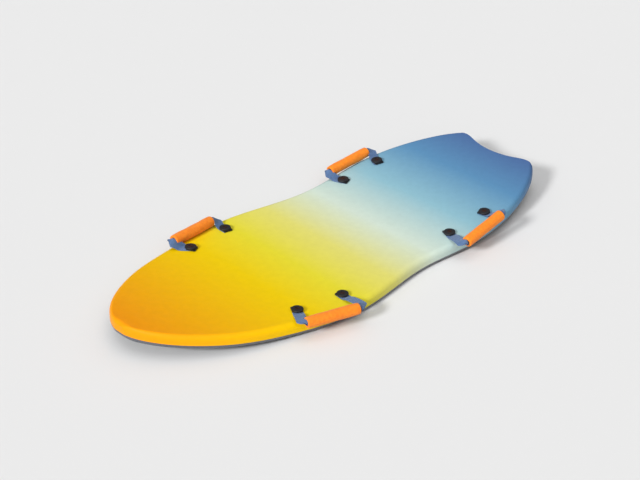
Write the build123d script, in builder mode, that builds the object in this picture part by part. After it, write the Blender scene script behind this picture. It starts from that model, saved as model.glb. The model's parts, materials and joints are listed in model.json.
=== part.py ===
from build123d import *
from math import asin, atan, cos, pi, radians, sin, tan
import os

# Two-rider foam bodyboard with four webbing handles.
# Frame: +Z up, nose towards -Y, the rider's left towards +X, millimetres.
# The origin lies on the centreline, at mid-length, on the flat face of the slick bottom.

# ---- driving dimensions: board ----
LENGTH = 1220.0
THICKNESS = 35.0
NOSE_END = -LENGTH / 2
TAIL_END = LENGTH / 2
# rail stations (half-width, y): three round the nose, shoulder, widest point, waist, hip, three to the tail
NOSE_STATIONS = ((81, -573), (135, -512), (183, -427), (221, -305))
BODY_STATIONS = ((248, -110), (218, 115), (228, 310))
REAR_STATIONS = ((209, 439), (172, 538), (142, 588), (123, TAIL_END))
# rear outline (half-width, y): where it crosses the rail, the tail tip, the middle of the notch
TAIL_CROSSING = (148, 589)
TAIL_TIP = (116, 608)
TAIL_NOTCH = (0, 588)
TAIL_CROSSING_TANGENT = (-0.7, 0.7)

NOSE_LIFT = 43.0
NOSE_ROCKER_START = -110.0
TAIL_LIFT = 36.0
TAIL_ROCKER_START = 160.0
TAIL_ROCKER_END = 300.0

RAIL_RADIUS = 13.0
DECK_SKIN = 2.5
SLICK_SKIN = 1.6
SLICK_EDGE_HEIGHT = 11.0
PLANED_OFF = 0.3
RIB_COUNT = 34
RIB_ROUNDING_LIMIT = 0.45
FIRST_RIB = 0.012

# ---- driving dimensions: handles ----
WEB_WIDTH = 25.0
WEB_THICKNESS = 1.6
ANCHOR_TO_HINGE = 19.0
HINGE_HEIGHT = 2.2
BED_LINE = 0.2
LEG_ROOT_GAP = 0.3
TAB_END_GAP = 1.3
TAB_INBOARD = 15.0
GRIP_LENGTH = 130.0
GRIP_RADIUS = 13.5
GRIP_BORE_RADIUS = 6.5
GRIP_EDGE_RADIUS = 1.5
GRIP_END_GAP = 2.0
GRIP_SIDE_GAP = 1.5
FOLDED_WEB_RADIUS = 5.2
FOLDED_WEB_WIDTH = 14.0
FOLD_PAST_AXIS = 6.0

# ---- driving dimensions: anchors ----
PLATE_SIZE = 23.0
PLATE_THICKNESS = 2.0
PLATE_INBOARD_SHIFT = 4.0
PLATE_CORNER = 2.5
PLATE_SPLAY = 20.0
DISC_RADIUS = 14.0
DISC_HEIGHT = 4.0
DISC_EDGE_RADIUS = 1.5
RECESS_RADIUS = 6.0
RECESS_DEPTH = 1.8
SCREW_HEAD_RADIUS = 5.5
SCREW_HEAD_HEIGHT = 1.4
SCREW_RADIUS = 2.5
SCREW_LENGTH = 24.0
SCREW_SLOT_WIDTH = 1.2
SCREW_SLOT_DEPTH = 0.7
SCREW_CLEARANCE = 0.1
SLEEVE_RADIUS = 4.5
SLEEVE_BORE_DEPTH = 30.0
FLANGE_RADIUS = 12.0

# ---- the four handles ----
# side of the board, anchors (x, y) at the nose and tail ends, (reach from the hinge line to the
# grip's axis, tilt above the deck) at the nose and tail ends, shift of the grip along the hinge line
HANDLES = {
    "front_left": (1, (185, -260), (203, -139), (43.0, 8.5), (60.0, 8.5), -15.0),
    "front_right": (-1, (-185, -260), (-203, -139), (23.0, 33.0), (21.5, 33.0), -13.0),
    "rear_left": (1, (183, 236), (184.5, 358), (51.0, 12.0), (46.0, 30.0), -10.0),
    "rear_right": (-1, (-183, 236), (-184.5, 358), (27.0, 22.0), (25.0, 22.0), 1.0),
}

# ---- rocker, worked out from the driving dimensions ----
NOSE_RUN = NOSE_ROCKER_START - NOSE_END
NOSE_RADIUS = (NOSE_RUN**2 + NOSE_LIFT**2) / (2 * NOSE_LIFT)
TAIL_KICK = atan(TAIL_LIFT / (TAIL_END - (TAIL_ROCKER_START + TAIL_ROCKER_END) / 2))
TAIL_RADIUS = (TAIL_ROCKER_END - TAIL_ROCKER_START) / sin(TAIL_KICK)
OVERRUN = 60.0
HALF_SPAN = 320.0

os.makedirs("parts", exist_ok=True)


def save(piece, label):
    piece.label = label
    export_step(piece, f"parts/{label}.step")


# ---- board form ----
def deck_plane(x, y):
    """Plane on the deck at (x, y), square to the rocker there, with its x axis along row X."""
    if y < NOSE_ROCKER_START:
        centre_y, centre_z, radius = NOSE_ROCKER_START, NOSE_RADIUS, NOSE_RADIUS - THICKNESS
        angle = -asin((NOSE_ROCKER_START - y) / radius)
    else:
        centre_y, centre_z, radius = TAIL_ROCKER_START, TAIL_RADIUS, TAIL_RADIUS - THICKNESS
        angle = asin(max(y - TAIL_ROCKER_START, 0) / radius)
    angle = min(angle, TAIL_KICK)
    past_arc = max(y - centre_y - radius * sin(TAIL_KICK), 0)
    height = centre_z - radius * cos(angle) + past_arc * tan(TAIL_KICK)
    return Plane(origin=(x, y, height), x_dir=(1, 0, 0), z_dir=(0, -sin(angle), cos(angle)))


def rocker_ends(height):
    """Nose end, both ends of the flat, kick start and tail end of the rocker raised by height."""
    nose_radius = NOSE_RADIUS - height
    tail_radius = TAIL_RADIUS - height
    nose_angle = asin((NOSE_RUN + OVERRUN) / NOSE_RADIUS)
    kick_y = TAIL_ROCKER_START + tail_radius * sin(TAIL_KICK)
    kick_z = TAIL_RADIUS - tail_radius * cos(TAIL_KICK)
    tail_y = TAIL_END + OVERRUN
    return (
        (NOSE_ROCKER_START - nose_radius * sin(nose_angle), NOSE_RADIUS - nose_radius * cos(nose_angle)),
        (NOSE_ROCKER_START, height),
        (TAIL_ROCKER_START, height),
        (kick_y, kick_z),
        (tail_y, kick_z + (tail_y - kick_y) * tan(TAIL_KICK)),
    )


def below_rocker(height):
    """Block wider and longer than the board, under the rocker line raised by height."""
    nose_end, flat_start, flat_end, kick_start, tail_end = rocker_ends(height)
    with BuildPart() as block:
        with BuildSketch(Plane.YZ):
            with BuildLine():
                TangentArc(flat_start, nose_end, tangent=(-1, 0))
                Line(flat_start, flat_end)
                TangentArc(flat_end, kick_start, tangent=(1, 0))
                Line(kick_start, tail_end)
                Polyline(nose_end, (nose_end[0], -OVERRUN), (tail_end[0], -OVERRUN), tail_end)
            make_face()
        extrude(amount=HALF_SPAN, both=True)
    return block.part


# outline from the right tail tip round the nose, its middle, to the left tail tip
left_stations = (*NOSE_STATIONS, *BODY_STATIONS, *REAR_STATIONS)
right_stations = [(-x, y) for x, y in reversed(left_stations)]
with BuildLine():
    rail = Spline(*right_stations, (0, NOSE_END), *left_stations)


def tail_cutter(shift):
    """Block behind the notched tail outline, moved forwards by shift."""
    crossing, tip, notch = ((x, y - shift) for x, y in (TAIL_CROSSING, TAIL_TIP, TAIL_NOTCH))
    behind = TAIL_END + OVERRUN
    with BuildPart() as block:
        with BuildSketch():
            with BuildLine():
                Spline(crossing, tip, notch, tangents=(TAIL_CROSSING_TANGENT, (-1, 0)))
                Polyline(notch, (0, behind), (HALF_SPAN, behind), (HALF_SPAN, crossing[1]), crossing)
            make_face()
            mirror(about=Plane.YZ)
        extrude(amount=THICKNESS + TAIL_LIFT + OVERRUN)
    return block.part


def board_form(inset, low, high):
    """Board lofted through ribs that stand inset from the rail, between two rocker offsets."""
    radius = RAIL_RADIUS - inset
    with BuildPart() as form:
        for index in range(RIB_COUNT + 1):
            from_nose = FIRST_RIB + (1 - FIRST_RIB) * (1 - cos(pi * index / RIB_COUNT)) / 2
            along = (1 + from_nose) / 2
            inward = (rail % along).rotate(Axis.Z, 90)
            point = rail @ along + inset * inward
            from_tip = min(point.Y - NOSE_END - inset, radius)
            trim = radius - (radius**2 - (radius - from_tip) ** 2) ** 0.5
            height = high - low - 2 * trim
            middle = deck_plane(0, point.Y).origin.Z - THICKNESS + (low + high) / 2
            with BuildSketch(Plane(origin=(0, point.Y, middle), x_dir=(1, 0, 0), z_dir=(0, -1, 0))):
                RectangleRounded(2 * point.X, height, min(radius, RIB_ROUNDING_LIMIT * height))
        loft()
        add(tail_cutter(inset), mode=Mode.SUBTRACT)
    return form.part


# ---- anchor places ----
def anchor_plane(side, spot, toward_tail):
    """Deck plane at an anchor: x axis outboard and square to the line through both anchors."""
    deck = deck_plane(*spot)
    outboard = toward_tail.cross(deck.z_dir) * side
    return Plane(origin=deck.origin + deck.z_dir * BED_LINE, x_dir=outboard, z_dir=deck.z_dir)


def loop_plane(hinge_line, tilt, side):
    """Plane through a hinge line, a plane with x along it and y outboard, that rises by tilt."""
    rising = hinge_line.y_dir * cos(radians(tilt)) - hinge_line.z_dir * (side * sin(radians(tilt)))
    along = hinge_line.x_dir
    return Plane(origin=hinge_line.origin, x_dir=along, z_dir=along.cross(rising))


anchors = {}
hinge_lines = {}
for name, (side, nose_spot, tail_spot, _, _, _) in HANDLES.items():
    nose_deck = deck_plane(*nose_spot)
    tail_deck = deck_plane(*tail_spot)
    along = (tail_deck.origin - nose_deck.origin).normalized()
    anchors[f"{name}_nose"] = anchor_plane(side, nose_spot, along)
    anchors[f"{name}_tail"] = anchor_plane(side, tail_spot, along)
    outboard = (along.cross(nose_deck.z_dir + tail_deck.z_dir) * side).normalized()
    upward = along.cross(outboard) * -side
    middle = (nose_deck.origin + tail_deck.origin) * 0.5
    hinge_point = middle + outboard * ANCHOR_TO_HINGE + upward * HINGE_HEIGHT
    hinge_lines[name] = Plane(origin=hinge_point, x_dir=along, z_dir=along.cross(outboard))
anchor_places = [Location(plane) for plane in anchors.values()]
for name, plane in hinge_lines.items():
    fold_axis = plane.x_dir * -HANDLES[name][0]
    print("hinge", name, [round(v, 3) for v in plane.origin], [round(v, 5) for v in fold_axis])

# ---- foam core, deck skin and slick bottom ----
with BuildPart() as foam_core:
    add(board_form(DECK_SKIN, SLICK_SKIN, THICKNESS - DECK_SKIN))
    with Locations(*anchor_places):
        Cylinder(SLEEVE_RADIUS, 2 * THICKNESS, mode=Mode.SUBTRACT)
save(foam_core.part, "foam_core")

with BuildPart() as shell:
    add(board_form(0, -PLANED_OFF, THICKNESS))
    add(board_form(DECK_SKIN, SLICK_SKIN, THICKNESS - DECK_SKIN), mode=Mode.SUBTRACT)
    with Locations(*anchor_places):
        Cylinder(SLEEVE_RADIUS, 2 * THICKNESS, mode=Mode.SUBTRACT)

with BuildPart() as deck_skin:
    add(shell.part)
    add(below_rocker(SLICK_EDGE_HEIGHT), mode=Mode.SUBTRACT)
save(deck_skin.part, "deck_skin")

with BuildPart() as slick_bottom:
    add(shell.part)
    add(below_rocker(SLICK_EDGE_HEIGHT), mode=Mode.INTERSECT)
    split(bisect_by=Plane.XY, keep=Keep.TOP)
    with Locations(*[place * Location((0, 0, -THICKNESS - BED_LINE)) for place in anchor_places]):
        Cylinder(FLANGE_RADIUS, 2 * SLICK_SKIN, mode=Mode.SUBTRACT)
save(slick_bottom.part, "slick_bottom")

# ---- anchor hardware ----
plate_bottom = WEB_THICKNESS
disc_bottom = plate_bottom + PLATE_THICKNESS
recess_floor = disc_bottom + DISC_HEIGHT - RECESS_DEPTH
clearance_radius = SCREW_RADIUS + SCREW_CLEARANCE

for name, place in anchors.items():
    with BuildPart() as strap_tab:
        with BuildSketch(place):
            with Locations(((ANCHOR_TO_HINGE - TAB_END_GAP - TAB_INBOARD) / 2, 0)):
                Rectangle(ANCHOR_TO_HINGE - TAB_END_GAP + TAB_INBOARD, WEB_WIDTH)
            Circle(clearance_radius, mode=Mode.SUBTRACT)
        extrude(amount=WEB_THICKNESS)
    save(strap_tab.part, f"strap_tab_{name}")

    splay = PLATE_SPLAY if name.endswith("nose") == ("left" in name) else -PLATE_SPLAY
    with BuildPart() as anchor_plate:
        with BuildSketch(place.offset(plate_bottom)):
            with Locations((-PLATE_INBOARD_SHIFT, 0)):
                RectangleRounded(PLATE_SIZE, PLATE_SIZE, PLATE_CORNER, rotation=-splay)
            Circle(clearance_radius, mode=Mode.SUBTRACT)
        extrude(amount=PLATE_THICKNESS)
    save(anchor_plate.part, f"anchor_plate_{name}")

    with BuildPart() as anchor_disc:
        with BuildSketch(place.offset(disc_bottom)):
            Circle(DISC_RADIUS)
        extrude(amount=DISC_HEIGHT)
        top = anchor_disc.faces().sort_by(lambda face: (face.center() - place.origin).dot(place.z_dir))[-1]
        fillet(top.edges(), radius=DISC_EDGE_RADIUS)
        with Locations(Location(place.offset(disc_bottom + DISC_HEIGHT))):
            CounterBoreHole(clearance_radius, RECESS_RADIUS, RECESS_DEPTH)
    save(anchor_disc.part, f"anchor_disc_{name}")

with BuildPart() as anchor_screws:
    with Locations(*[place * Location((0, 0, recess_floor)) for place in anchor_places]):
        Cylinder(SCREW_HEAD_RADIUS, SCREW_HEAD_HEIGHT, align=(Align.CENTER, Align.CENTER, Align.MIN))
        Cylinder(SCREW_RADIUS, SCREW_LENGTH, align=(Align.CENTER, Align.CENTER, Align.MAX))
    with Locations(*[place * Location((0, 0, recess_floor + SCREW_HEAD_HEIGHT)) for place in anchor_places]):
        Box(2 * SCREW_HEAD_RADIUS, SCREW_SLOT_WIDTH, 2 * SCREW_SLOT_DEPTH, mode=Mode.SUBTRACT)
save(anchor_screws.part, "anchor_screws")

with BuildPart() as anchor_sleeves:
    with Locations(*[place * Location((0, 0, -THICKNESS - BED_LINE)) for place in anchor_places]):
        Cylinder(SLEEVE_RADIUS, THICKNESS, align=(Align.CENTER, Align.CENTER, Align.MIN))
        Cylinder(FLANGE_RADIUS, SLICK_SKIN, align=(Align.CENTER, Align.CENTER, Align.MIN))
    with Locations(*anchor_places):
        downward = (Align.CENTER, Align.CENTER, Align.MAX)
        Cylinder(SCREW_RADIUS, SLEEVE_BORE_DEPTH, align=downward, mode=Mode.SUBTRACT)
save(anchor_sleeves.part, "anchor_sleeves")

# ---- handles ----
for name, (side, nose_spot, tail_spot, nose_end, tail_end, shift) in HANDLES.items():
    hinge_line = hinge_lines[name]
    half_spacing = (anchors[f"{name}_tail"].origin - anchors[f"{name}_nose"].origin).length / 2
    lean = asin((tail_end[0] - nose_end[0]) / GRIP_LENGTH)
    axis = Vector(cos(lean), sin(lean), 0)
    across = Vector(-sin(lean), cos(lean), 0)
    centre = Vector(shift, (nose_end[0] + tail_end[0]) / 2, 0)
    tilts = {-1: nose_end[1], 1: tail_end[1]}
    leg_planes = {end: loop_plane(hinge_line, tilt, side) for end, tilt in tilts.items()}
    half_bar = axis * (GRIP_LENGTH / 2 + GRIP_END_GAP + FOLDED_WEB_WIDTH / 2)
    bar_start = leg_planes[-1].from_local_coords(centre - half_bar)
    bar_end = leg_planes[1].from_local_coords(centre + half_bar)
    along = (bar_end - bar_start).normalized()
    grip_centre = (bar_start + bar_end) * 0.5

    with BuildPart() as strap_loop:
        for end, leg_plane in leg_planes.items():
            grip_end = centre + axis * (end * (GRIP_LENGTH / 2 + GRIP_END_GAP))
            inner_low = grip_end - across * (GRIP_RADIUS + GRIP_SIDE_GAP)
            inner_high = grip_end + across * FOLD_PAST_AXIS
            outer_high = inner_high + axis * (end * FOLDED_WEB_WIDTH)
            outer_low = inner_low + axis * (end * FOLDED_WEB_WIDTH)
            root_inner = (end * (half_spacing - WEB_WIDTH / 2), LEG_ROOT_GAP)
            root_outer = (end * (half_spacing + WEB_WIDTH / 2), LEG_ROOT_GAP)
            with BuildSketch(leg_plane):
                with BuildLine():
                    inner_side = (root_inner, inner_low, inner_high)
                    Polyline(*inner_side, outer_high, outer_low, root_outer, close=True)
                make_face()
            extrude(amount=WEB_THICKNESS / 2, both=True)
        with BuildSketch(Plane(origin=bar_start, x_dir=hinge_line.z_dir, z_dir=along)):
            Circle(FOLDED_WEB_RADIUS)
        extrude(amount=(bar_end - bar_start).length)
    save(strap_loop.part, f"strap_loop_{name}")

    grip_start = grip_centre - along * (GRIP_LENGTH / 2)
    with BuildPart() as foam_grip:
        with BuildSketch(Plane(origin=grip_start, x_dir=hinge_line.z_dir, z_dir=along)):
            Circle(GRIP_RADIUS)
            Circle(GRIP_BORE_RADIUS, mode=Mode.SUBTRACT)
        extrude(amount=GRIP_LENGTH)
        rims = foam_grip.edges().filter_by(GeomType.CIRCLE).group_by(lambda edge: edge.radius)[-1]
        fillet(rims, radius=GRIP_EDGE_RADIUS)
    save(foam_grip.part, f"foam_grip_{name}")
    print("grip", name, [round(v, 3) for v in grip_centre], [round(v, 5) for v in along])
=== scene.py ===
import json
import math

import bpy
import numpy as np
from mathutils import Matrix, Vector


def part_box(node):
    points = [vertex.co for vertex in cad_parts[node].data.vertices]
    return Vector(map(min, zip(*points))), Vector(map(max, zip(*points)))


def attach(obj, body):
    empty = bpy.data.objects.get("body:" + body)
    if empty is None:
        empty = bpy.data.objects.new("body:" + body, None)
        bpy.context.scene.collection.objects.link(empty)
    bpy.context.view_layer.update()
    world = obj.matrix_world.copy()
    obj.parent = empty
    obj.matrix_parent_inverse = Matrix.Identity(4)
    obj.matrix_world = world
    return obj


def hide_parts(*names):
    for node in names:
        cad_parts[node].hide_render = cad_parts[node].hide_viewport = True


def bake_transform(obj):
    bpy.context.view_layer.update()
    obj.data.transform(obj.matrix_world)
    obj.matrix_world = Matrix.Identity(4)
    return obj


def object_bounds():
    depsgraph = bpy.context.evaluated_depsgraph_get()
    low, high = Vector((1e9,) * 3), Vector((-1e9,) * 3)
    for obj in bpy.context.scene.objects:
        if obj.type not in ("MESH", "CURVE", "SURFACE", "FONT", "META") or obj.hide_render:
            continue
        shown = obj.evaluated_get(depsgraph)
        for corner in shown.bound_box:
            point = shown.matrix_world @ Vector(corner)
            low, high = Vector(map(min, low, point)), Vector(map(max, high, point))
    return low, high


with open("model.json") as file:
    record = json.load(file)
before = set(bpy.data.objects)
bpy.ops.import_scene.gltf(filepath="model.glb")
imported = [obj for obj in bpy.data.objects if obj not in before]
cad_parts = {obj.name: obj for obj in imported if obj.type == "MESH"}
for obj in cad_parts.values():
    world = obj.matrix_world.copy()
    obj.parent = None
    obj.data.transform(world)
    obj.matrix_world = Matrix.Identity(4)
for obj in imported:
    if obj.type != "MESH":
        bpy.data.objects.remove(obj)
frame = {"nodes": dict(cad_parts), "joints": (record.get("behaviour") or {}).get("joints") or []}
cad_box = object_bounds()

HANDLES = ("front_left", "front_right", "rear_left", "rear_right")

# ---- sizes of the straps, in metres ----
WEB_WIDTH = 0.025
WEB_THICKNESS = 0.0015
WEB_ROW = 0.0009
WEB_COLUMNS = 36
SELVEDGE = 0.0016
WARP_PITCH = 0.0017
PICK_PITCH = 0.0022
CUT_END_INBOARD = 0.0125
DISC_TO_WEB = 0.0048
ON_DECK_END = -0.008
LEFT_DECK = 0.006
FOLD_RADIUS = 0.0013
FOLD_TO_GRIP = 0.0145
TIGHT_FOLDS = {"front_left_nose": 0.009, "rear_left_nose": 0.012}
CURL_RADIUS = 0.0052
CURL_START = -0.006
LIFT_REACH = 0.022
ARCH_SLOPE = 0.16
SELVEDGE_THINNING = 0.85
FLATTEST_CURL = 1e-4

# ---- sizes of the foam grips, in metres ----
GRIP_LENGTH = 0.130
GRIP_RADIUS = 0.0135
GRIP_BORE = 0.0066
GRIP_RIM = 0.0022
GRIP_UNEVEN = 0.00022
GRIP_PINCH = 0.0006
GRIP_PINCH_LENGTH = 0.012
GRIP_AROUND = 72
GRIP_STEP = 0.002
RIM_STEPS = 6
# (lobes round the tube, radians a metre along it) of each slow wave of its unevenness
GRIP_WAVES = ((1, 45), (2, 90), (3, 140), (2, 30))


# ---- small helpers for shader nodes ----
def linear(*rgb):
    """Display colour, 0 to 255 a channel, as the linear colour that a shader takes."""
    parts = [c / 255 for c in rgb]
    return tuple(c / 12.92 if c <= 0.04045 else ((c + 0.055) / 1.055) ** 2.4 for c in parts) + (1.0,)


class Shader:
    """A Principled material and short ways to hang textures on it. Scales are in cells a metre."""

    def __init__(self, name, roughness, **constants):
        self.material = bpy.data.materials.new(name)
        self.material.use_nodes = True
        self.tree = self.material.node_tree
        self.surface = self.tree.nodes["Principled BSDF"]
        self.surface.inputs["Roughness"].default_value = roughness
        for socket, value in constants.items():
            self.surface.inputs[socket.replace("_", " ")].default_value = value
        self.place = self.node("ShaderNodeTexCoord").outputs["Object"]

    def node(self, kind, inputs=None, **settings):
        made = self.tree.nodes.new(kind)
        for key, value in settings.items():
            setattr(made, key, value)
        for socket, value in (inputs or {}).items():
            if isinstance(value, bpy.types.NodeSocket):
                self.tree.links.new(value, made.inputs[socket])
            else:
                made.inputs[socket].default_value = value
        return made

    def math(self, operation, first, second=0.0):
        return self.node("ShaderNodeMath", {0: first, 1: second}, operation=operation).outputs[0]

    def axis(self, vector, name):
        return self.node("ShaderNodeSeparateXYZ", {0: vector}).outputs[name]

    def stretched(self, vector, scale):
        return self.node("ShaderNodeMapping", {"Vector": vector, "Scale": scale}).outputs[0]

    def noise(self, scale, detail=3.0, rough=0.5, vector=None):
        made = self.node(
            "ShaderNodeTexNoise",
            {"Vector": vector or self.place, "Scale": scale, "Detail": detail, "Roughness": rough},
        )
        return made.outputs[0]

    def cells(self, scale, feature="F1"):
        inputs = {"Vector": self.place, "Scale": scale}
        return self.node("ShaderNodeTexVoronoi", inputs, feature=feature).outputs["Distance"]

    def spread(self, value, low, high, to_low, to_high):
        made = self.node("ShaderNodeMapRange", {0: value, 1: low, 2: high, 3: to_low, 4: to_high})
        return made.outputs[0]

    def ramp(self, value, stops):
        made = self.node("ShaderNodeValToRGB", {0: value})
        elements = made.color_ramp.elements
        while len(elements) < len(stops):
            elements.new(0.5)
        for element, (position, colour) in zip(elements, stops):
            element.position = position
            element.color = colour
        return made.outputs[0]

    def mix(self, share, first, second, blend="MIX"):
        made = self.node("ShaderNodeMix", data_type="RGBA", blend_type=blend)
        for socket, value in (("Factor_Float", share), ("A_Color", first), ("B_Color", second)):
            found = next(s for s in made.inputs if s.identifier == socket)
            if isinstance(value, bpy.types.NodeSocket):
                self.tree.links.new(value, found)
            else:
                found.default_value = value
        return next(s for s in made.outputs if s.identifier == "Result_Color")

    def colour(self, value):
        self.tree.links.new(value, self.surface.inputs["Base Color"])

    def roughness(self, value):
        self.tree.links.new(value, self.surface.inputs["Roughness"])

    def bump(self, *layers):
        """Layers of (height, depth in metres), the first one lowest."""
        normal = None
        for height, depth in layers:
            inputs = {"Height": height, "Distance": depth, "Strength": 1.0}
            if normal is not None:
                inputs["Normal"] = normal
            normal = self.node("ShaderNodeBump", inputs).outputs[0]
        self.tree.links.new(normal, self.surface.inputs["Normal"])


# ---- materials ----
ORANGE = (250, 155, 10)
GOLDEN = (240, 205, 0)
LEMON = (228, 216, 50)
STRAW = (224, 218, 115)
MINT = (210, 225, 210)
SKY = (140, 185, 200)
BLUE = (90, 140, 180)
DEEP_BLUE = (75, 105, 155)
# the printed fade of the deck, from the nose end to the tail: share of the length, and colour
FADE = (
    (0.0, ORANGE),
    (0.3, GOLDEN),
    (0.4, LEMON),
    (0.5, STRAW),
    (0.62, MINT),
    (0.75, SKY),
    (0.88, BLUE),
    (1.0, DEEP_BLUE),
)


def deck_print():
    """Printed closed-cell foam skin: a fade along the board, a fine pebble grain and a soft satin gloss."""
    low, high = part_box("deck_skin")
    s = Shader("deck_print", 0.5, Specular_IOR_Level=0.1)
    along = s.spread(s.axis(s.place, "Y"), low.y, high.y, 0.0, 1.0)
    wander = s.math("MULTIPLY", s.math("SUBTRACT", s.noise(9.0), 0.5), 0.006)
    fade = s.ramp(s.math("ADD", along, wander), [(at, linear(*rgb)) for at, rgb in FADE])
    mottle = s.ramp(s.noise(70.0, 3.0), [(0.3, linear(250, 250, 250)), (0.7, linear(255, 255, 255))])
    s.colour(s.mix(1.0, fade, mottle, "MULTIPLY"))
    s.roughness(s.spread(s.noise(60.0, 4.0), 0.3, 0.7, 0.40, 0.52))
    pebble = s.cells(620.0, feature="SMOOTH_F1")
    s.bump((s.noise(40.0, 2.0), 0.0002), (pebble, 0.00005), (s.noise(2600.0, 2.0), 0.00001))
    return s.material


def slick_plastic():
    """Dark polyethylene sheet: glossy, with fine scratches that run along the board."""
    s = Shader("slick_plastic", 0.3, Specular_IOR_Level=0.5)
    streak = s.noise(300.0, 5.0, 0.7, s.stretched(s.place, (1.0, 0.02, 1.0)))
    s.colour(s.ramp(streak, [(0.35, linear(82, 85, 92)), (0.7, linear(104, 108, 116))]))
    s.roughness(s.spread(streak, 0.3, 0.7, 0.24, 0.42))
    s.bump((s.noise(30.0, 2.0), 0.0002), (streak, 0.00004))
    return s.material


def bead_foam():
    """White expanded bead foam."""
    s = Shader("bead_foam", 0.8, Specular_IOR_Level=0.3)
    edge = s.cells(280.0, feature="DISTANCE_TO_EDGE")
    s.colour(s.ramp(edge, [(0.0, linear(205, 208, 210)), (0.12, linear(238, 240, 240))]))
    s.bump((edge, 0.0006), (s.noise(1500.0), 0.00005))
    return s.material


def grip_foam():
    """Soft orange closed-cell foam: open pores on a skin with a slow unevenness."""
    s = Shader("grip_foam", 0.8, Specular_IOR_Level=0.3, Sheen_Weight=0.12, Sheen_Roughness=0.5)
    pores = s.cells(1150.0, feature="F1")
    cloud = s.noise(130.0, 4.0)
    base = s.ramp(cloud, [(0.3, linear(246, 130, 26)), (0.7, linear(255, 146, 34))])
    shade = s.ramp(pores, [(0.0, linear(222, 214, 208)), (0.35, linear(255, 255, 255))])
    s.colour(s.mix(1.0, base, shade, "MULTIPLY"))
    s.roughness(s.spread(cloud, 0.3, 0.7, 0.72, 0.86))
    s.bump((s.noise(90.0, 3.0), 0.0004), (pores, 0.00022), (s.noise(4200.0, 2.0), 0.00004))
    return s.material


def webbing():
    """Woven strap: ribs along it, crossed by staggered picks. The woven attribute holds the place along the
    strap, the place across it and how deep the shade of the bore is."""
    s = Shader("webbing", 0.72, Specular_IOR_Level=0.3, Sheen_Weight=0.25, Sheen_Roughness=0.4)
    place = s.node("ShaderNodeAttribute", attribute_name="woven").outputs["Vector"]
    along, across = s.axis(place, "X"), s.axis(place, "Y")
    rib = s.math("SINE", s.math("MULTIPLY", across, math.tau / WARP_PITCH))
    pick = s.math("SINE", s.math("MULTIPLY", along, math.tau / PICK_PITCH))
    stagger = s.math("MULTIPLY", rib, pick)
    ridge = s.math("ABSOLUTE", s.math("COSINE", s.math("MULTIPLY", across, math.tau / WARP_PITCH)))
    height = s.math("ADD", s.math("MULTIPLY", stagger, 0.5), s.math("MULTIPLY", ridge, 0.5))
    fibre = s.noise(1.0, 3.0, 0.6, s.stretched(place, (900.0, 5200.0, 1.0)))
    # painted shade and light on the weave: darker in the hollows between ribs and picks, paler on their
    # crowns
    tones = [(0.0, linear(38, 62, 104)), (0.55, linear(84, 116, 164)), (1.0, linear(132, 160, 198))]
    yarn_with_painted_shade = s.ramp(s.spread(height, -0.5, 1.0, 0.0, 1.0), tones)
    worn = s.ramp(s.noise(1.0, 4.0, 0.6, s.stretched(place, (120.0, 120.0, 1.0))),
                  [(0.3, linear(222, 226, 232)), (0.7, linear(255, 255, 255))])
    faded = s.mix(0.25, yarn_with_painted_shade, s.ramp(fibre, [(0.3, linear(62, 92, 142)), (0.7, linear(126, 160, 202))]))
    unshaded_web = s.mix(1.0, faded, worn, "MULTIPLY")
    # painted shade of the bore: the web darkens towards navy as it curls into the grip's ends
    s.colour(s.mix(s.math("MULTIPLY", s.axis(place, "Z"), 0.9), unshaded_web, linear(16, 20, 34)))
    s.bump((height, 0.00035), (fibre, 0.00012))
    return s.material


def moulded_nylon(name, dark, light):
    """Injection-moulded part: a spark-eroded grain, slightly paler where it is rubbed."""
    s = Shader(name, 0.5, Specular_IOR_Level=0.4)
    rubbed = s.noise(260.0, 5.0, 0.65)
    s.colour(s.ramp(rubbed, [(0.35, linear(*dark)), (0.75, linear(*light))]))
    s.roughness(s.spread(rubbed, 0.3, 0.7, 0.42, 0.6))
    s.bump((s.noise(2600.0, 3.0), 0.00005), (s.cells(1500.0), 0.00004))
    return s.material


def screw_metal():
    """Blackened steel head with a brown bloom of rust."""
    s = Shader("screw_metal", 0.45, Metallic=0.75)
    bloom = s.noise(700.0, 5.0, 0.7)
    tones = [(0.35, linear(48, 36, 34)), (0.6, linear(88, 58, 50)), (0.8, linear(64, 58, 58))]
    s.colour(s.ramp(bloom, tones))
    s.roughness(s.spread(bloom, 0.3, 0.7, 0.35, 0.65))
    s.bump((bloom, 0.00008))
    return s.material


# ---- handle frames, read from the joints ----
joints = {joint["name"]: joint for joint in frame["joints"]}


def vector(values):
    return np.array(list(values), float)


def unit(v):
    return v / np.linalg.norm(v)


def smooth(x):
    x = np.clip(x, 0.0, 1.0)
    return x * x * (3 - 2 * x)


def disc_seat(node):
    """Centre and upward axis of an anchor disc."""
    points = np.array([v.co for v in frame["nodes"][node].data.vertices], float)
    low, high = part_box(node)
    axis = np.linalg.eigh(np.cov(points.T))[1][:, 0]
    return (vector(low) + vector(high)) / 2, axis * np.sign(axis[2])


class Handle:
    """One handle's own axes: u along the hinge line towards the tail, v outboard to the grip, w up. rise is
    how much the grip climbs out of that plane along u."""

    def __init__(self, name):
        fold = joints[f"handle_fold_{name}"]
        roll = joints[f"grip_roll_{name}"]
        self.name = name
        self.origin = vector(fold["pos_m"])
        self.side = math.copysign(1.0, self.origin[0])
        self.u = unit(vector(fold["axis"])) * -self.side
        self.grip_centre = vector(roll["pos_m"])
        to_grip = self.grip_centre - self.origin
        self.v = unit(to_grip - self.u * (to_grip @ self.u))
        self.w = np.cross(self.v, self.u) * self.side
        self.grip_axis = unit(vector(roll["axis"]))
        self.centre = self.flat(self.grip_centre)
        self.axis = unit(np.array([self.grip_axis @ self.u, self.grip_axis @ self.v]))
        self.rise = (self.grip_axis @ self.w) / (self.grip_axis @ self.u)

    def flat(self, point):
        return np.array([(point - self.origin) @ self.u, (point - self.origin) @ self.v])


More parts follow.
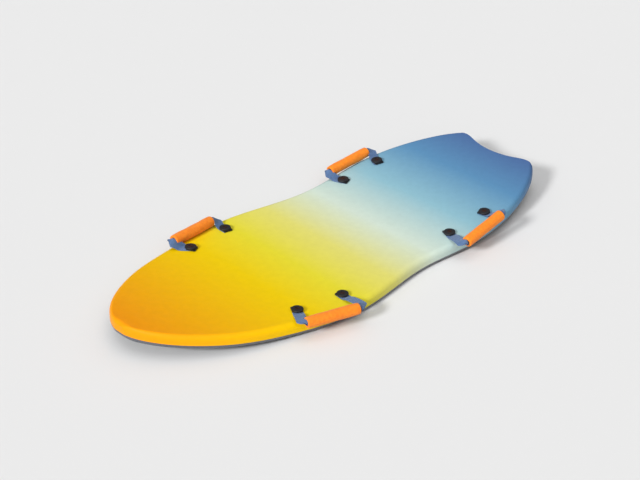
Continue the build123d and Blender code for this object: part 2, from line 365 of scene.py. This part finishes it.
def mesh_object(name, points, faces, material):
    mesh = bpy.data.meshes.new(name)
    mesh.from_pydata([tuple(p) for p in points], [], faces)
    mesh.materials.append(material)
    mesh.shade_smooth()
    made = bpy.data.objects.new(name, mesh)
    bpy.context.scene.collection.objects.link(made)
    return made


def ring_faces(rings, around):
    """Quads between closed rings of points, the last point of a ring meeting its first."""
    return [
        (row * around + k, row * around + (k + 1) % around,
         (row + 1) * around + (k + 1) % around, (row + 1) * around + k)
        for row in range(rings - 1) for k in range(around)
    ]


# ---- woven straps ----
def fold_over(flat, fold, crease):
    """Turns what lies past the crease half round, to under the rest. Gives places, heights, what is past."""
    past = (flat - fold) @ crease
    turn = np.clip(past / FOLD_RADIUS, 0, math.pi)
    beyond = np.maximum(past - math.pi * FOLD_RADIUS, 0)
    on_crease = flat - np.maximum(past, 0)[..., None] * crease
    turned = on_crease + (FOLD_RADIUS * np.sin(turn) - beyond)[..., None] * crease
    return turned, FOLD_RADIUS * np.cos(turn), past > 0


def curl_in(a, b, height, flap, fold_gap):
    """Curls the web about the grip's axis as a, the way into the bore, grows. b runs across that axis."""
    progress = smooth((a - CURL_START) / (fold_gap - CURL_START))
    curl = np.maximum(progress, FLATTEST_CURL) / CURL_RADIUS
    curled = flap | (b > 0)
    angle = np.where(curled, b * curl, 0)
    radius = 1 / curl + height
    lift = progress * CURL_RADIUS * np.where(curled, 1.0, smooth(1 + b / LIFT_REACH))
    drop = np.where(curled, radius * (1 - np.cos(angle)), 0)
    return np.where(curled, radius * np.sin(angle), b), height + lift - drop


def half_strap(handle, end):
    """Middle surface of the web from its cut end under a disc to the grip's middle, and its woven places.
    It runs straight from the screw to a diagonal fold beside the grip, and from there along the grip's axis,
    curling into the bore. end is -1 at the nose and 1 at the tail."""
    place = f"{handle.name}_{'tail' if end > 0 else 'nose'}"
    seat, seat_up = disc_seat(f"anchor_disc_{place}")
    fold_gap = TIGHT_FOLDS.get(place, FOLD_TO_GRIP)
    anchor = handle.flat(seat)
    inward = -end * handle.axis
    outward = np.array([-handle.axis[1], handle.axis[0]])
    fold = handle.centre - inward * (GRIP_LENGTH / 2 + fold_gap)
    leg = unit(fold - anchor)
    total = np.linalg.norm(fold - anchor) + fold_gap + GRIP_LENGTH / 2
    rows = np.linspace(-CUT_END_INBOARD, total, round((total + CUT_END_INBOARD) / WEB_ROW))
    across = np.linspace(-0.5, 0.5, WEB_COLUMNS + 1) * WEB_WIDTH
    s, t = np.meshgrid(rows, across, indexing="ij")
    flat = anchor + s[..., None] * leg + t[..., None] * np.array([-leg[1], leg[0]]) * end
    flat, height, flap = fold_over(flat, fold, unit(leg - inward))
    a, b = (flat - fold) @ inward, (flat - fold) @ outward
    b, height = curl_in(a, b, height, flap, fold_gap)
    shade = smooth((a - CURL_START) / (fold_gap - CURL_START)) * flap
    u, v = np.moveaxis(fold + a[..., None] * inward + b[..., None] * outward, -1, 0)
    share = np.clip(v / fold[1], 0, 1)
    arch = ARCH_SLOPE * fold[1] * share * (1 - share)
    height = height + arch + handle.rise * (u - handle.centre[0]) * share
    in_plane = handle.origin + u[..., None] * handle.u + v[..., None] * handle.v
    in_loop = in_plane + height[..., None] * handle.w
    deck_along = unit(handle.u - seat_up * (handle.u @ seat_up))
    deck_out = np.cross(deck_along, seat_up) * handle.side
    bed = seat - seat_up * DISC_TO_WEB
    on_deck = bed + (u - anchor[0])[..., None] * deck_along + (v - anchor[1])[..., None] * deck_out
    leaving = smooth((v - ON_DECK_END) / (LEFT_DECK - ON_DECK_END))[..., None]
    return on_deck * (1 - leaving) + in_loop * leaving, np.stack([s, t, shade], -1)


def strap(handle):
    """The whole webbing loop of one handle, a closed mesh that is thinner at its selvedges."""
    nose, nose_woven = half_strap(handle, -1)
    tail, tail_woven = half_strap(handle, 1)
    tail_woven[..., 0] = nose_woven[-1, 0, 0] + tail_woven[-1, 0, 0] - tail_woven[..., 0]
    points = np.concatenate([nose, tail[-2::-1]])
    woven = np.concatenate([nose_woven, tail_woven[-2::-1]])
    normal = np.cross(np.gradient(points, axis=0), np.gradient(points, axis=1))
    normal /= np.linalg.norm(normal, axis=-1, keepdims=True)
    rim = np.clip((np.abs(woven[..., 1]) - WEB_WIDTH / 2) / SELVEDGE + 1, 0, 1)
    half = (WEB_THICKNESS / 2 * np.sqrt(1 - SELVEDGE_THINNING * rim**4))[..., None]
    loops = np.concatenate([points + normal * half, (points - normal * half)[:, ::-1]], axis=1)
    places = np.concatenate([woven, woven[:, ::-1]], axis=1)
    rows, around = loops.shape[:2]
    faces = ring_faces(rows, around)
    for first, flip in ((0, False), ((rows - 1) * around, True)):
        for k in range(WEB_COLUMNS):
            quad = (first + k, first + around - 1 - k, first + around - 2 - k, first + k + 1)
            faces.append(quad[::-1] if flip else quad)
    made = mesh_object(f"webbing_strap_{handle.name}", loops.reshape(-1, 3), faces, web_material)
    made.data.attributes.new("woven", "FLOAT_VECTOR", "POINT").data.foreach_set(
        "vector", places.reshape(-1).astype(np.float32)
    )
    ends = [f"{handle.name}_{end}" for end in ("nose", "tail")]
    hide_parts(f"strap_loop_{handle.name}", *[f"strap_tab_{end}" for end in ends])
    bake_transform(made)


# ---- foam grips ----
def grip_profile():
    """(place along, radius) once round the section of the tube wall, starting outside at mid-length."""
    half = GRIP_LENGTH / 2
    middle = np.arange(0, half - 2 * GRIP_RIM, GRIP_STEP)
    outside = [(x, GRIP_RADIUS) for x in middle]
    inside = [(x, GRIP_BORE) for x in middle]
    outer_rim, inner_rim = (
        [
            (
                half - GRIP_RIM + GRIP_RIM * math.sin(angle),
                radius - inwards * GRIP_RIM * (1 - math.cos(angle)),
            )
            for angle in np.linspace(0, math.pi / 2, RIM_STEPS)
        ]
        for radius, inwards in ((GRIP_RADIUS, 1), (GRIP_BORE, -1))
    )
    one_end = outside + outer_rim + inner_rim[::-1] + inside[::-1]
    other_end = [(-x, radius) for x, radius in one_end[::-1][1:-1]]
    return np.array(one_end + other_end)


def grip(handle, seed):
    """Foam tube, a little uneven, and pinched where the web turns into its ends."""
    random = np.random.default_rng(seed)
    along, radius = grip_profile().T
    turn = np.linspace(0, math.tau, GRIP_AROUND, endpoint=False)
    uneven = sum(
        np.cos(turn * n + random.uniform(0, math.tau))
        * np.cos(along[:, None] * pitch + random.uniform(0, math.tau))
        for n, pitch in GRIP_WAVES
    )
    pinch = GRIP_PINCH * np.exp((np.abs(along) - GRIP_LENGTH / 2) / GRIP_PINCH_LENGTH)
    rounded = radius[:, None] + GRIP_UNEVEN * uneven - (pinch * (radius > GRIP_BORE + GRIP_RIM))[:, None]
    across = unit(handle.v - handle.grip_axis * (handle.v @ handle.grip_axis))
    up = np.cross(handle.grip_axis, across)
    points = (
        handle.grip_centre
        + along[:, None, None] * handle.grip_axis
        + (rounded * np.cos(turn))[..., None] * across
        + (rounded * np.sin(turn))[..., None] * up
    )
    rings = len(along)
    faces = ring_faces(rings, GRIP_AROUND)
    last = (rings - 1) * GRIP_AROUND
    faces += [(last + k, last + (k + 1) % GRIP_AROUND, (k + 1) % GRIP_AROUND, k) for k in range(GRIP_AROUND)]
    made = mesh_object(f"grip_tube_{handle.name}", points.reshape(-1, 3), faces, grip_material)
    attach(made, f"grip_{handle.name}")
    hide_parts(f"foam_grip_{handle.name}")


web_material = webbing()
grip_material = grip_foam()
for number, name in enumerate(HANDLES):
    handle = Handle(name)
    strap(handle)
    grip(handle, number)

# ---- rigid pieces keep their CAD shape ----
plate_material = moulded_nylon("plate_nylon", (20, 20, 24), (34, 34, 38))
disc_material = moulded_nylon("disc_nylon", (24, 23, 27), (40, 38, 43))
FINISHES = {
    "deck_skin": deck_print(),
    "slick_bottom": slick_plastic(),
    "foam_core": bead_foam(),
    "anchor_screws": screw_metal(),
    "anchor_sleeves": moulded_nylon("sleeve_nylon", (60, 60, 64), (84, 84, 88)),
}
for name in HANDLES:
    for end in ("nose", "tail"):
        FINISHES[f"anchor_plate_{name}_{end}"] = plate_material
        FINISHES[f"anchor_disc_{name}_{end}"] = disc_material
for node, material in FINISHES.items():
    for material_slot in frame["nodes"][node].material_slots:
        material_slot.material = material

# ---- camera, floor and lights ----
CAMERA_AZIMUTH = 46.7
CAMERA_ELEVATION = 30.46
CAMERA_PLACE = (2.375, -2.255, 1.963)
CAMERA_LENS = 90.0
CAMERA_SENSOR = 36.0
FLOOR_HALF_SIZE = 14.0
FLOOR_COLOUR = (0.78, 0.78, 0.78, 1.0)
# (height on the sky from 0 to 1, level) of the dim and the bright end of the sky, and its strength
SKY_LEVELS = ((0.15, 0.22), (0.9, 1.0))
SKY_STRENGTH = 0.5

camera = bpy.data.objects.new("camera", bpy.data.cameras.new("camera"))
camera.data.lens = CAMERA_LENS
camera.data.sensor_width = CAMERA_SENSOR
camera.location = CAMERA_PLACE
camera.rotation_euler = (math.radians(90 - CAMERA_ELEVATION), 0, math.radians(CAMERA_AZIMUTH))
bpy.context.scene.collection.objects.link(camera)
bpy.context.scene.camera = camera


def floor_paper():
    """Matt studio paper."""
    s = Shader("floor_paper", 0.95, Specular_IOR_Level=0.0, Base_Color=FLOOR_COLOUR)
    s.bump((s.noise(400.0, 3.0), 0.00005))
    return s.material


ground = cad_box[0].z
corners = [
    (x * FLOOR_HALF_SIZE, y * FLOOR_HALF_SIZE, ground) for x, y in ((-1, -1), (1, -1), (1, 1), (-1, 1))
]
floor = mesh_object("floor", corners, [(0, 1, 2, 3)], floor_paper())

# (name, azimuth the light comes from, elevation, strength, angle of its disc), azimuths as for views
SUNS = (
    ("key", 8.0, 30.0, 2.5, 11.0),
    ("front", 50.0, 35.0, 0.6, 60.0),
    ("top", 60.0, 75.0, 0.6, 50.0),
)
for name, azimuth, elevation, strength, size in SUNS:
    light = bpy.data.lights.new(name, "SUN")
    light.energy = strength
    light.angle = math.radians(size)
    lamp = bpy.data.objects.new(name, light)
    lamp.rotation_euler = (math.radians(90 - elevation), 0, math.radians(azimuth))
    bpy.context.scene.collection.objects.link(lamp)


def studio_world():
    """Soft light from all round, bright overhead and dimmer towards the floor."""
    world = bpy.data.worlds.new("studio")
    world.use_nodes = True
    nodes, links = world.node_tree.nodes, world.node_tree.links
    height = nodes.new("ShaderNodeSeparateXYZ")
    links.new(nodes.new("ShaderNodeTexCoord").outputs["Generated"], height.inputs[0])
    ramp = nodes.new("ShaderNodeValToRGB")
    links.new(height.outputs["Z"], ramp.inputs[0])
    for element, (position, level) in zip(ramp.color_ramp.elements, SKY_LEVELS):
        element.position = position
        element.color = (level, level, level, 1.0)
    links.new(ramp.outputs[0], nodes["Background"].inputs["Color"])
    nodes["Background"].inputs["Strength"].default_value = SKY_STRENGTH
    return world


bpy.context.scene.world = studio_world()
bpy.context.scene.view_settings.view_transform = "Standard"
